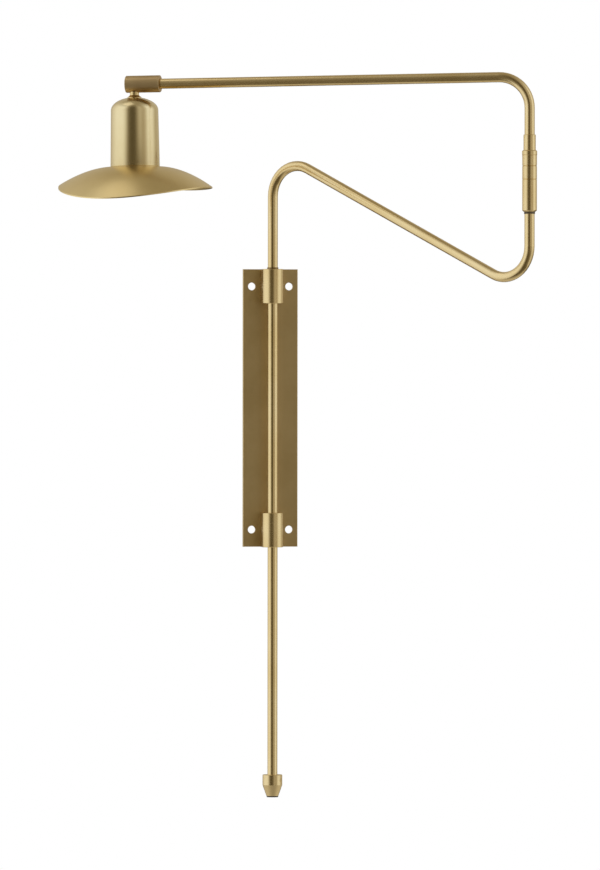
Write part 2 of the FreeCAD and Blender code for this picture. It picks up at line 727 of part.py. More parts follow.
def make_elbow_spindle():
    """The hollow spindle with its groove, spring washer, circlip and stop pin."""
    low = bearing_bottom - dims.spindle_tail
    clip_top = bearing_bottom - dims.seat_gap - dims.washer_thick
    clip_low = clip_top - dims.washer_thick
    groove = dims.spindle_radius - dims.clip_groove
    outer = dims.spindle_radius
    bore = dims.spindle_bore
    on_upper_leg(turned("elbow_spindle", [
        (bore, low), (outer, low), (outer, clip_low), (groove, clip_low), (groove, clip_top),
        (outer, clip_top), (outer, spindle_top), (bore, spindle_top)]))
    rim = bush_outer + dims.clip_groove
    on_upper_leg(tube_ring("elbow_spring_washer", rim, outer, clip_top, bearing_bottom - dims.seat_gap))
    on_upper_leg(tube_ring("elbow_circlip", rim, groove, clip_low, clip_top))
    pin_height = low + dims.grub_radius
    pin_end = dims.socket_bore - dims.edge_break
    pin_body = turned("elbow_stop_pin", [
        (outer, 0), (outer, dims.stop_radius), (pin_end, dims.stop_radius), (pin_end, 0)], "H_Axis")
    place(pin_body, (elbow_x, elbow_y, pin_height), dims.upper_turn)


def upper_path(start, end_x):
    return [(0, start), (0, dims.upper_corner),
            (end_x * cosine(dims.droop), dims.upper_corner - end_x * sine(dims.droop))]


def make_upper_tube():
    start = collar_top - dims.tube_seat
    tube_end = shoulder_x - dims.seat_gap
    on_upper_leg(bent_tube("upper_tube", upper_path(start, tube_end), dims.tube_radius, tube_bore))
    lead_end = dims.upper_reach - 2
    on_upper_leg(bent_tube("upper_lead", upper_path(start - dims.tube_seat, lead_end), dims.lead_radius))


def make_arm_end():
    """The hollow nut in the arm's end, which holds the knuckle through a spring washer."""
    wash = shoulder_x + dims.seat_gap
    flange = wash + dims.washer_thick
    face = flange + dims.arm_nut_thick
    rim = dims.coupler_bore - dims.edge_break
    spigot = dims.upper_reach
    on_upper_run(turned("arm_end_nut", [
        (spigot, dims.spindle_bore), (spigot, tube_bore), (flange, tube_bore), (flange, rim),
        (face, rim), (face, dims.spindle_bore)], "H_Axis"))
    on_upper_run(turned("knuckle_spring_washer", [
        (wash, tube_bore), (wash, rim), (flange, rim), (flange, tube_bore)], "H_Axis"))


def make_upper_arm():
    make_elbow_head()
    make_elbow_spindle()
    make_upper_tube()
    make_arm_end()


# ---------------------------------------------------------------- knuckle

def make_knuckle():
    """The barrel that turns about the arm's end, its end cap, and the seat for the neck."""
    bore = dims.tube_radius + dims.running_gap
    start = dims.upper_reach
    cap_face = coupler_end - dims.end_cap_thick
    body = turned("knuckle_barrel", [
        (start, bore), (start, dims.coupler_radius), (cap_face, dims.coupler_radius),
        (cap_face, dims.coupler_bore), (shoulder_x, dims.coupler_bore), (shoulder_x, bore)], "H_Axis")

    def tube_end_rim(edge):
        curve = edge.Curve
        round_rim = isinstance(curve, Part.Circle) and abs(curve.Radius - dims.coupler_radius.value) < 0.01
        return round_rim and abs(curve.Center.x - start.value) < 0.01
    break_edges(body, tube_end_rim, dims.edge_break)
    cut_round(body, "nut_pocket", "XY_Plane", (neck_x, 0), dims.pocket_radius, pocket_bottom,
              dims.pocket_radius - pocket_bottom)
    cut_round(body, "neck_seat", "XY_Plane", (neck_x, 0), dims.neck_radius + dims.running_gap,
              coupler_under, dims.neck_seat)
    cut_round(body, "stem_hole", "XY_Plane", (neck_x, 0), dims.stem_radius + dims.running_gap,
              seat_face, dims.pocket_floor)
    on_upper_run(body)
    spigot = cap_face - dims.end_cap_spigot
    cap = turned("knuckle_end_cap", [
        (spigot, 0), (spigot, dims.coupler_bore), (cap_face, dims.coupler_bore),
        (cap_face, dims.coupler_radius), (coupler_end, dims.coupler_radius), (coupler_end, 0)], "H_Axis")

    def face_rim(edge):
        curve = edge.Curve
        return isinstance(curve, Part.Circle) and abs(curve.Center.x - coupler_end.value) < 0.01
    break_edges(cap, face_rim, dims.edge_break)
    on_upper_run(cap)


# ---------------------------------------------------------------- head

def make_neck():
    """The turned neck with its hollow stem, the nut in the knuckle and the nut in the cup."""
    low = holder_top_z - dims.holder_roof
    washer_low = pocket_bottom + dims.seat_gap
    washer_high = washer_low + dims.stem_washer_thick
    nut_top = washer_high + dims.stem_nut_height
    high = nut_top + dims.edge_break
    waist = coupler_under - dims.neck_length / 2
    foot_top = neck_foot + dims.edge_break
    top = seat_face - dims.seat_gap
    body = turned("neck_stem", [
        (dims.stem_bore, low), (dims.stem_radius, low), (dims.stem_radius, neck_foot),
        (dims.neck_flare, neck_foot), (dims.neck_flare, foot_top), (dims.neck_radius, waist),
        (dims.neck_radius, top), (dims.stem_radius, top), (dims.stem_radius, high),
        (dims.stem_bore, high)])
    at_neck(body)
    rim = dims.pocket_radius - dims.nut_room
    at_neck(tube_ring("stem_washer", rim, dims.stem_radius, washer_low, washer_high))
    half_flats = rim * 0.86
    at_neck(hexagon_nut("stem_nut", half_flats, dims.stem_radius, washer_high, nut_top))
    locknut_half = dims.stem_radius + dims.locknut_rim
    at_neck(hexagon_nut("cup_locknut", locknut_half, dims.stem_radius, crown_under - dims.locknut_height,
                        crown_under))
    at_neck(rod("head_lead", dims.stem_bore - dims.edge_break, low - dims.holder_roof, high))


def make_socket_cup():
    """The cup: a low cone with a rounded shoulder on a slightly flared cylinder, open below."""
    top = neck_foot
    shoulder = top - dims.cup_crown
    wall = dims.cup_wall
    outer = dims.cup_radius
    inner = outer - wall
    body = turned("socket_cup", [
        (dims.stem_radius, top), (dims.neck_flare, top), (outer, shoulder), (hub_radius, cup_edge),
        (hub_radius - wall, cup_edge), (inner, shoulder - wall), (dims.neck_flare, top - wall),
        (dims.stem_radius, top - wall)])
    round_edges(body, circle_at(outer, shoulder), dims.cup_round)
    round_edges(body, circle_at(inner, shoulder - wall), dims.cup_round - wall)
    at_neck(body)


def make_lampholder():
    """Insulating base and skirt, brass screw shell and centre contact, hung on the neck's stem."""
    outer = dims.holder_radius
    bore = dims.holder_bore
    roof = holder_top_z - dims.holder_roof
    skirt_top = roof - dims.holder_slope
    wall = outer - bore
    at_neck(turned("lampholder_base", [
        (dims.stem_radius, holder_top_z), (bore, holder_top_z), (outer, holder_top_z - dims.holder_hip),
        (outer, skirt_top), (bore, skirt_top), (bore - wall, roof), (dims.stem_radius, roof)]))
    at_neck(tube_ring("lampholder_skirt", outer, bore, holder_mouth, skirt_top))
    shell_low = holder_mouth + dims.shell_depth
    shell_high = shell_low + dims.shell_length
    bead_low = shell_low + dims.shell_lip
    bead_high = shell_high - dims.shell_lip
    waist = dims.shell_bore + dims.shell_wall
    at_neck(turned("lampholder_shell", [
        (dims.shell_bore, shell_low), (bore, shell_low), (bore, bead_low), (waist, bead_low),
        (waist, bead_high), (bore, bead_high), (bore, shell_high), (dims.shell_bore, shell_high)]))
    disc_low = shell_high + dims.contact_disc
    disc_high = disc_low + dims.contact_disc
    tip = disc_low - dims.contact_drop
    at_neck(turned("lampholder_contact", [
        (0, tip), (dims.contact_radius, tip), (dims.contact_radius, disc_low), (bore, disc_low),
        (bore, disc_high), (0, disc_high)]))


def brim_height(radius, angle):
    """Top face of the dish: a curve falling outwards, waved and dipped towards its edge."""
    share = (radius - hub_radius.value) / (dims.shade_radius.value - hub_radius.value)
    curve = max(share, 0.0) ** dims.shade_curve.value
    wave = dims.brim_wave.value * math.cos(2 * (angle - math.radians(dims.brim_wave_turn.value)))
    dip = dims.brim_dip.value * math.cos(angle - math.radians(dims.brim_dip_turn.value))
    return cup_edge.value + curve * (wave - dip - dims.shade_drop.value)


def dish_section(angle):
    """The sheet's section in the plane at one angle: top curve, rim, under curve, hub."""
    hole = dims.holder_radius.value + dims.running_gap.value
    flange = hub_radius.value
    rim = dims.shade_radius.value
    wall = dims.shade_wall.value
    stations = 7
    radii = [flange + (rim - flange) * i / (stations - 1) for i in range(stations)]

    def at(radius, height):
        return FreeCAD.Vector(radius * math.cos(angle), radius * math.sin(angle), height)
    over = [at(r, brim_height(r, angle)) for r in radii]
    under = [at(r, brim_height(r, angle) - wall) for r in reversed(radii)]
    top_curve = Part.BSplineCurve()
    top_curve.interpolate(over)
    under_curve = Part.BSplineCurve()
    under_curve.interpolate(under)
    hub_top = at(hole, cup_edge.value)
    hub_low = at(hole, cup_edge.value - wall)
    return Part.Wire([
        Part.LineSegment(hub_top, over[0]).toShape(), top_curve.toShape(),
        Part.LineSegment(over[-1], under[0]).toShape(), under_curve.toShape(),
        Part.LineSegment(under[-1], hub_low).toShape(), Part.LineSegment(hub_low, hub_top).toShape()])


def make_shade_dish():
    """The dish, bent like a hat's brim: sections all the way round, lofted into one closed sheet."""
    turns = 24
    sections = [dish_section(math.radians(360.0 * i / turns)) for i in range(turns)]
    dish = doc.addObject("Part::Feature", "shade_dish")
    dish.Label = "shade_dish"
    dish.Shape = Part.makeLoft(sections, True, False, True)
    NODES.append(dish)
    at_neck(dish)


def make_shade_ring():
    """The threaded ring on the lampholder that holds the dish against the cup."""
    top = cup_edge - dims.shade_wall
    low = top - dims.shade_ring_height
    outer = dims.holder_radius + dims.ring_reach
    body = tube_ring("shade_ring", outer, dims.holder_radius, low, top)
    break_edges(body, circle_at(outer, low), dims.edge_break)
    at_neck(body)


def make_head():
    make_neck()
    make_socket_cup()
    make_lampholder()
    make_shade_dish()
    make_shade_ring()


# ---------------------------------------------------------------- build, check and write

def check_document():
    """Every object must be sound, and every piece a valid solid."""
    for item in doc.Objects:
        for bad in ("Invalid", "Error"):
            if bad in item.State:
                raise ValueError("%s is %s" % (item.Name, bad))
    for node in NODES:
        if node.Shape.isNull() or not node.Shape.isValid() or not node.Shape.Solids:
            raise ValueError("%s has no sound solid" % node.Label)


def write_parts():
    os.makedirs("parts", exist_ok=True)
    for node in NODES:
        node.Shape.exportStep(os.path.join("parts", node.Label + ".step"))


make_wall_bracket()
make_bushes()
make_lower_arm()
make_upper_arm()
make_knuckle()
make_head()
doc.recompute()
check_document()
write_parts()
print("%d pieces written" % len(NODES))
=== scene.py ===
import json
import math
import bmesh
import bpy
from mathutils import Matrix, Vector


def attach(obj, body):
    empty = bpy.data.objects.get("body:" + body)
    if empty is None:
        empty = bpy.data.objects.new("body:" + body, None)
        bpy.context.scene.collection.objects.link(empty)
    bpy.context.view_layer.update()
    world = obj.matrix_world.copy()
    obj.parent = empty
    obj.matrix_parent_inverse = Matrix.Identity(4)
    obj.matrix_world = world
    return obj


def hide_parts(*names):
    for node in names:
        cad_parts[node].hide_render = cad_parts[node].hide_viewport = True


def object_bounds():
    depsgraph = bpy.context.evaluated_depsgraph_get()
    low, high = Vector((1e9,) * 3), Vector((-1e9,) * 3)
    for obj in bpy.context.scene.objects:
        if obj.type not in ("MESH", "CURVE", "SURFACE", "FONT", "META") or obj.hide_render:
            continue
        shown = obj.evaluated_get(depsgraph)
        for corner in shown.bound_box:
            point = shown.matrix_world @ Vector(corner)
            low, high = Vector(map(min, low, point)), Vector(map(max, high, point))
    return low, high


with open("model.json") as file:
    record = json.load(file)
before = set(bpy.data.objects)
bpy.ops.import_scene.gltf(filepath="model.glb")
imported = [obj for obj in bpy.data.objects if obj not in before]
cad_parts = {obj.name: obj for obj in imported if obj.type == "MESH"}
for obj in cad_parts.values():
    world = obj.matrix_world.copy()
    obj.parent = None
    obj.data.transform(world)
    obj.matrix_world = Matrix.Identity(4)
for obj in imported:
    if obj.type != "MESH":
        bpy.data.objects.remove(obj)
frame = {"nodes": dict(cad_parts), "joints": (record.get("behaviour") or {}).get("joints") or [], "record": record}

CAD_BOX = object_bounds()
RECORD = frame["record"]
JOINTS = {joint["name"]: joint for joint in frame["joints"]}

# ---------------------------------------------------------------- view
# The lamp seen from far away, a little from its left and nearly level.
VIEW_TURN = math.radians(-7.5)
VIEW_LIFT = math.radians(0.6)
VIEW_ROLL = math.radians(0.05)
VIEW_DISTANCE = 7.0
VIEW_TARGET = Vector((0.02754, -0.023, -0.02686))
VIEW_HEIGHT = 0.870
VIEW_REACH = 100.0
SENSOR_HEIGHT = 36.0
LENS = SENSOR_HEIGHT * VIEW_DISTANCE / VIEW_HEIGHT


def deselect_all():
    """Leaves nothing selected, so that an operator acts on its own piece alone."""
    bpy.ops.object.select_all(action="DESELECT")


def make_camera():
    """The camera, far off with a long lens, so that the lamp is drawn almost without perspective."""
    back = Vector((math.sin(VIEW_TURN) * math.cos(VIEW_LIFT),
                   -math.cos(VIEW_TURN) * math.cos(VIEW_LIFT), math.sin(VIEW_LIFT)))
    data = bpy.data.cameras.new("camera")
    data.sensor_fit = "VERTICAL"
    data.sensor_height = SENSOR_HEIGHT
    data.lens = LENS
    data.clip_end = VIEW_REACH
    camera = bpy.data.objects.new("camera", data)
    bpy.context.scene.collection.objects.link(camera)
    look = (-back).to_track_quat("-Z", "Y").to_matrix().to_4x4()
    camera.matrix_world = Matrix.Translation(VIEW_TARGET + back * VIEW_DISTANCE) @ look
    camera.matrix_world = camera.matrix_world @ Matrix.Rotation(VIEW_ROLL, 4, "Z")
    bpy.context.scene.camera = camera


make_camera()


# ---------------------------------------------------------------- node helpers

def new_material(name):
    """A material with its node tree and its main shader."""
    material = bpy.data.materials.new(name)
    material.use_nodes = True
    tree = material.node_tree
    shader = tree.nodes["Principled BSDF"]
    return material, tree, shader


def object_coordinates(tree, scale=(1, 1, 1)):
    """Object coordinates, multiplied by a scale along each axis."""
    source = tree.nodes.new("ShaderNodeTexCoord")
    size = tree.nodes.new("ShaderNodeMapping")
    size.vector_type = "POINT"
    size.inputs["Scale"].default_value = scale
    tree.links.new(source.outputs["Object"], size.inputs["Vector"])
    return size.outputs["Vector"]


def noise(tree, vector, scale, detail, roughness):
    """A noise pattern, from 0 to 1, with so many lumps to a metre."""
    node = tree.nodes.new("ShaderNodeTexNoise")
    node.inputs["Scale"].default_value = scale
    node.inputs["Detail"].default_value = detail
    node.inputs["Roughness"].default_value = roughness
    tree.links.new(vector, node.inputs["Vector"])
    return node.outputs["Fac"]


def spread(tree, value, low, high, to_low, to_high):
    """A value between two limits, moved to lie between two others."""
    node = tree.nodes.new("ShaderNodeMapRange")
    node.inputs["From Min"].default_value = low
    node.inputs["From Max"].default_value = high
    node.inputs["To Min"].default_value = to_low
    node.inputs["To Max"].default_value = to_high
    tree.links.new(value, node.inputs["Value"])
    return node.outputs["Result"]


def ramp(tree, value, stops):
    """A colour for each value, blended between stops of position and colour."""
    node = tree.nodes.new("ShaderNodeValToRGB")
    band = node.color_ramp
    while len(band.elements) < len(stops):
        band.elements.new(0.5)
    for element, (position, colour) in zip(band.elements, stops):
        element.position = position
        element.color = (*colour, 1.0)
    tree.links.new(value, node.inputs["Fac"])
    return node.outputs["Color"]


def mix_colour(tree, factor, first, second):
    """One colour over another, each a socket or a plain colour."""
    node = tree.nodes.new("ShaderNodeMix")
    node.data_type = "RGBA"
    tree.links.new(factor, node.inputs[0])
    for socket, value in ((6, first), (7, second)):
        if isinstance(value, tuple):
            node.inputs[socket].default_value = (*value, 1.0)
        else:
            tree.links.new(value, node.inputs[socket])
    return node.outputs[2]


def maths(tree, kind, first, second):
    """A sum, product or angle of two values, each a socket or a number."""
    node = tree.nodes.new("ShaderNodeMath")
    node.operation = kind
    for socket, value in ((0, first), (1, second)):
        if isinstance(value, (int, float)):
            node.inputs[socket].default_value = value
        else:
            tree.links.new(value, node.inputs[socket])
    return node.outputs[0]


def bump(tree, height, strength, distance):
    """Small relief, at most a distance high, that tilts the surface's normal."""
    node = tree.nodes.new("ShaderNodeBump")
    node.inputs["Strength"].default_value = strength
    node.inputs["Distance"].default_value = distance
    tree.links.new(height, node.inputs["Height"])
    return node.outputs["Normal"]


# ---------------------------------------------------------------- finishes

# Lumps to a metre of each pattern, with its detail and roughness. Tool grain has its own scales below.
TARNISH_CLOUDS = (18.0, 4.0, 0.55)
HANDLING_SPOTS = (160.0, 3.0, 0.5)
TOOL_GRAIN = (1.0, 3.0, 0.6)
STEEL_MARKS = (900.0, 4.0, 0.6)
MOULD_GRAIN = (700.0, 4.0, 0.6)
MOULD_DRIFT = (40.0, 3.0, 0.5)

# The part of a noise's range that its pattern uses.
NOISE_LOW = 0.3
NOISE_HIGH = 0.7
SPOT_RANGE = (0.56, 0.76)
GRAIN_RANGE = (0.35, 0.65)

# How much of the roughness and the relief comes from each pattern.
CLOUD_SHARE = 0.6
GRAIN_SHARE = 0.4
SPOT_RELIEF = 0.4

# For each kind of finish: its tones, its roughness or how far that swings, and the strength and depth
# of its relief.
BRASS_TARNISH = 0.2
BRASS_STREAK = 0.04
BRASS_SWING = 0.012
BRASS_RELIEF = 0.3
BRASS_DEPTH = 0.000001
TUBE_SWING = 0.008
TUBE_DEPTH = 0.0000003
STEEL_RELIEF = 0.2
STEEL_DEPTH = 0.00002
STEEL_ROUGHNESS = (0.28, 0.45)
STEEL_DARK = (0.30, 0.30, 0.30)
STEEL_LIGHT = (0.52, 0.52, 0.51)
MOULD_RELIEF = 0.3
MOULD_DEPTH = 0.00003
MOULD_SWING = 0.06


def brass(name, tones, roughness, grain_scale, tarnish=BRASS_TARNISH, depth=BRASS_DEPTH,
          rough_swing=BRASS_SWING, streak=BRASS_STREAK):
    """Brass with drawn or turned grain, tarnish in soft clouds and small handling marks."""
    material, tree, shader = new_material(name)
    plain = object_coordinates(tree)
    clouds = noise(tree, plain, *TARNISH_CLOUDS)
    spots = noise(tree, plain, *HANDLING_SPOTS)
    grain = noise(tree, object_coordinates(tree, grain_scale), *TOOL_GRAIN)
    dark, middle, light = tones
    cloud_level = spread(tree, clouds, NOISE_LOW, NOISE_HIGH, 0.0, 1.0)
    body = ramp(tree, cloud_level, [(0.0, dark), (0.5, middle), (1.0, light)])
    worn = mix_colour(tree, spread(tree, spots, *SPOT_RANGE, 0.0, tarnish), body, dark)
    streaked = mix_colour(tree, spread(tree, grain, *GRAIN_RANGE, 0.0, streak), worn, light)
    tree.links.new(streaked, shader.inputs["Base Color"])
    shader.inputs["Metallic"].default_value = 1.0
    cloud_part = maths(tree, "MULTIPLY", clouds, CLOUD_SHARE)
    grain_part = maths(tree, "MULTIPLY", grain, GRAIN_SHARE)
    texture = maths(tree, "ADD", cloud_part, grain_part)
    rough = spread(tree, texture, NOISE_LOW, NOISE_HIGH, roughness - rough_swing, roughness + rough_swing)
    tree.links.new(rough, shader.inputs["Roughness"])
    height = maths(tree, "ADD", grain, maths(tree, "MULTIPLY", spots, SPOT_RELIEF))
    tree.links.new(bump(tree, height, BRASS_RELIEF, depth), shader.inputs["Normal"])
    return material


def steel(name):
    """Plain steel with fine marks."""
    material, tree, shader = new_material(name)
    marks = noise(tree, object_coordinates(tree), *STEEL_MARKS)
    colour = ramp(tree, marks, [(NOISE_LOW, STEEL_DARK), (NOISE_HIGH, STEEL_LIGHT)])
    tree.links.new(colour, shader.inputs["Base Color"])
    shader.inputs["Metallic"].default_value = 1.0
    rough = spread(tree, marks, NOISE_LOW, NOISE_HIGH, *STEEL_ROUGHNESS)
    tree.links.new(rough, shader.inputs["Roughness"])
    tree.links.new(bump(tree, marks, STEEL_RELIEF, STEEL_DEPTH), shader.inputs["Normal"])
    return material


def moulded(name, dark, light, roughness):
    """Moulded rubber, nylon or thermoset: fine grain, slight colour drift."""
    material, tree, shader = new_material(name)
    plain = object_coordinates(tree)
    grain = noise(tree, plain, *MOULD_GRAIN)
    drift = noise(tree, plain, *MOULD_DRIFT)
    tree.links.new(ramp(tree, drift, [(NOISE_LOW, dark), (NOISE_HIGH, light)]), shader.inputs["Base Color"])
    rough = spread(tree, grain, NOISE_LOW, NOISE_HIGH, roughness - MOULD_SWING, roughness + MOULD_SWING)
    tree.links.new(rough, shader.inputs["Roughness"])
    tree.links.new(bump(tree, grain, MOULD_RELIEF, MOULD_DEPTH), shader.inputs["Normal"])
    return material


# Tones of brass, each from its tarnished to its cleanest places.
PALE = ((0.74, 0.59, 0.31), (0.79, 0.65, 0.365), (0.82, 0.69, 0.41))
WARM = ((0.74, 0.555, 0.26), (0.79, 0.61, 0.31), (0.82, 0.65, 0.355))
GOLDEN = ((0.76, 0.585, 0.275), (0.81, 0.635, 0.31), (0.85, 0.68, 0.35))
OLIVE = ((0.61, 0.45, 0.21), (0.67, 0.505, 0.25), (0.73, 0.56, 0.29))
BROWN = ((0.50, 0.35, 0.17), (0.58, 0.42, 0.21), (0.64, 0.48, 0.26))
BRONZE = ((0.22, 0.14, 0.06), (0.30, 0.20, 0.09), (0.36, 0.25, 0.12))

# Grain marks to a metre along x, y and z, with the fewest along the way that the metal was worked.
ROLLED_GRAIN = (60, 60, 900)
MILLED_GRAIN = (90, 90, 900)
DRAWN_GRAIN = (400, 400, 30)
BARREL_GRAIN = (900, 900, 60)
TURNED_GRAIN = (60, 60, 1200)
SPUN_GRAIN = (40, 40, 1200)
PRESSED_GRAIN = (90, 90, 90)
SHELL_GRAIN = (60, 60, 3000)
BUSH_GRAIN = (60, 60, 2400)

FINISHES = {
    "plate_brass": brass("plate_brass", OLIVE, 0.50, ROLLED_GRAIN, streak=0.10),
    "bracket_brass": brass("bracket_brass", WARM, 0.27, MILLED_GRAIN),
    "tube_brass": brass("tube_brass", WARM, 0.25, DRAWN_GRAIN, depth=TUBE_DEPTH, rough_swing=TUBE_SWING),
    "turned_brass": brass("turned_brass", WARM, 0.26, TURNED_GRAIN),
    "knuckle_brass": brass("knuckle_brass", BROWN, 0.44, BARREL_GRAIN, tarnish=0.3),
    "cup_brass": brass("cup_brass", PALE, 0.24, SPUN_GRAIN),
    "shade_brass": brass("shade_brass", GOLDEN, 0.33, PRESSED_GRAIN),
    "shell_brass": brass("shell_brass", PALE, 0.22, SHELL_GRAIN),
    "bush_bronze": brass("bush_bronze", BRONZE, 0.36, BUSH_GRAIN, tarnish=0.4),
    "screw_steel": steel("screw_steel"),
    "grommet_rubber": moulded("grommet_rubber", (0.012, 0.012, 0.012), (0.025, 0.024, 0.022), 0.62),
    # The dark washer is a thin dark brown ring at the foot of the elbow socket, set where the gap at the joint
    # lies in shade: its dark colour is painted shade, not the colour of a real part.
    "dark_washer": moulded("dark_washer", (0.055, 0.038, 0.016), (0.085, 0.060, 0.028), 0.5),
    "holder_black": moulded("holder_black", (0.018, 0.016, 0.015), (0.032, 0.029, 0.027), 0.42),
    "lead_sheath": moulded("lead_sheath", (0.60, 0.56, 0.48), (0.70, 0.66, 0.58), 0.5),
}


SLOTS = {row["node"]: row["material_slot"] for row in RECORD["subparts"]}
BODIES = {node: body for body, nodes in RECORD["behaviour"]["bodies"].items() for node in nodes}

# Small pieces that can't be told from the turned brass round them.
PLAIN_BRASS = ("ferrule_grub_screw", "elbow_washer")


def finish_nodes():
    """Gives every solid of the frame the finish of its slot."""
    for name, node in frame["nodes"].items():
        node.data.materials.clear()
        node.data.materials.append(FINISHES[SLOTS[name]])
    for name in PLAIN_BRASS:
        frame["nodes"][name].data.materials[0] = FINISHES["turned_brass"]


finish_nodes()


# ---------------------------------------------------------------- modelling helpers

HEAD_TURN = JOINTS["head_turn"]
HEAD_UP = Vector(HEAD_TURN["axis"]).normalized()
HEAD_ALONG = Vector(JOINTS["head_tilt"]["axis"]).normalized()
HEAD_ACROSS = HEAD_UP.cross(HEAD_ALONG).normalized()
HEAD_AXES = Matrix((HEAD_ALONG, HEAD_ACROSS, HEAD_UP)).transposed().to_4x4()
HEAD_PLACE = Matrix.Translation(Vector(HEAD_TURN["pos_m"])) @ HEAD_AXES

# Points closer than MERGE are one point. The points of a cut or seam are found within SEAM of it.
MERGE = 0.000001
SEAM = 0.00001

# Faces that meet at less than this many degrees look like one round face.
SMOOTH_ANGLE = 40.0


def turned_extent(name):
    """A head piece's lowest and highest point along the neck's axis, and its largest radius from it."""
    back = HEAD_PLACE.inverted()
    spots = [back @ vertex.co for vertex in frame["nodes"][name].data.vertices]
    heights = [spot.z for spot in spots]
    return min(heights), max(heights), max(spot.xy.length for spot in spots)


def pick(piece, wanted):
    """Selects the vertices, and what lies between them, for which wanted(place) holds."""
    bpy.ops.mesh.select_mode(type="VERT")
    bpy.ops.mesh.select_all(action="DESELECT")
    mesh = bmesh.from_edit_mesh(piece.data)
    for vertex in mesh.verts:
        vertex.select = wanted(vertex.co)
    mesh.select_flush(True)
    bmesh.update_edit_mesh(piece.data)


def start_piece(name):
    """The primitive just added, named and open for editing."""
    piece = bpy.context.object
    piece.name = name
    bpy.ops.object.transform_apply(location=True, rotation=True, scale=True)
    bpy.ops.object.mode_set(mode="EDIT")
    return piece


def extrude_to(up=0.0, scale=1.0):
    """Pulls the selected rim up by a length and scales it about the neck's axis."""
    bpy.ops.mesh.extrude_region_move(TRANSFORM_OT_translate={"value": (0, 0, up)})
    bpy.ops.transform.resize(value=(scale, scale, 1.0), center_override=(0, 0, 0))


def close_piece(angle=SMOOTH_ANGLE):
    """Merges, turns all faces outwards, leaves edit mode and smooths the round faces."""
    bpy.ops.mesh.select_all(action="SELECT")
    bpy.ops.mesh.remove_doubles(threshold=MERGE)
    bpy.ops.mesh.normals_make_consistent(inside=False)
    bpy.ops.object.mode_set(mode="OBJECT")
    bpy.ops.object.shade_smooth_by_angle(angle=math.radians(angle))


def apply_modifier(piece, kind, **settings):
    """Adds a modifier with its settings to the active piece and applies it."""
    modifier = piece.modifiers.new(kind.lower(), kind)
    for key, value in settings.items():
        setattr(modifier, key, value)
    bpy.ops.object.modifier_apply(modifier=modifier.name)


def soften_edges(piece, width, segments, angle):
    """Rounds the edges that are sharper than an angle."""
    apply_modifier(piece, "BEVEL", width=width, segments=segments, limit_method="ANGLE",
                   angle_limit=math.radians(angle))


def dress(piece, node, place):
    """Puts a finished piece in place of a node, on its body and with its finish."""
    piece.data.transform(place)
    piece.data.materials.clear()
    piece.data.materials.append(FINISHES[SLOTS[node]])
    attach(piece, BODIES[node])
    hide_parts(node)
    deselect_all()


# ---------------------------------------------------------------- cup and lampholder

DOME_RADIUS = 0.0234
DOME_HEIGHT = 0.013
DOME_SEGMENTS = 96
DOME_RINGS = 64
CUP_MOUTH_RADIUS = 0.0243
CUP_WALL = 0.0012
CUP_HOLE_RADIUS = 0.0034
CUP_EDGE = 0.00035
CUP_EDGE_SEGMENTS = 3
CUP_EDGE_ANGLE = 50.0

THREAD_PITCH = 0.00363
THREAD_DEPTH = 0.0006
THREAD_POINTS = 16
THREAD_SMOOTH = 60.0
# Turns that are rolled past the shell's two ends and then cut off.
SPARE_TURNS = 2
TURN_STEPS = 72
SHELL_WALL = 0.0003
BEAD_SIDES = 10

RING_RIBS = 48
# Points round the ring to each rib: two stand proud and two lie back.
RIB_POINTS = 4
RIB_DEPTH = 0.0007
RIB_SMOOTH = 25.0
RIB_EDGE = 0.0002
RIB_EDGE_SEGMENTS = 2
RIB_EDGE_ANGLE = 40.0


def make_cup():
    """The spun cup: a low dome on a slightly flared wall, open below, with its sharp edges rounded."""
    low, high = turned_extent("socket_cup")[:2]
    foot = turned_extent("neck_stem")[2]
    rise = DOME_HEIGHT * math.sqrt(1.0 - (foot / DOME_RADIUS) ** 2)
    base = high - rise
    deselect_all()
    bpy.ops.mesh.primitive_uv_sphere_add(segments=DOME_SEGMENTS, ring_count=DOME_RINGS, radius=1.0)
    cup = start_piece("spun_cup")
    bpy.ops.mesh.select_all(action="SELECT")
    bpy.ops.transform.resize(value=(DOME_RADIUS, DOME_RADIUS, DOME_HEIGHT))
    bpy.ops.mesh.bisect(plane_co=(0, 0, SEAM), plane_no=(0, 0, 1), clear_inner=True)
    bpy.ops.mesh.select_all(action="SELECT")
    bpy.ops.mesh.bisect(plane_co=(0, 0, rise), plane_no=(0, 0, 1), clear_outer=True)
    pick(cup, lambda spot: spot.z > rise - SEAM)
    extrude_to(scale=CUP_HOLE_RADIUS / foot)
    pick(cup, lambda spot: spot.z < 2 * SEAM)
    extrude_to(low - base, CUP_MOUTH_RADIUS / DOME_RADIUS)
    close_piece()
    apply_modifier(cup, "SOLIDIFY", thickness=CUP_WALL, offset=-1.0)
    soften_edges(cup, CUP_EDGE, CUP_EDGE_SEGMENTS, CUP_EDGE_ANGLE)
    bpy.ops.object.shade_smooth_by_angle(angle=math.radians(SMOOTH_ANGLE))
    dress(cup, "socket_cup", HEAD_PLACE @ Matrix.Translation((0, 0, base)))


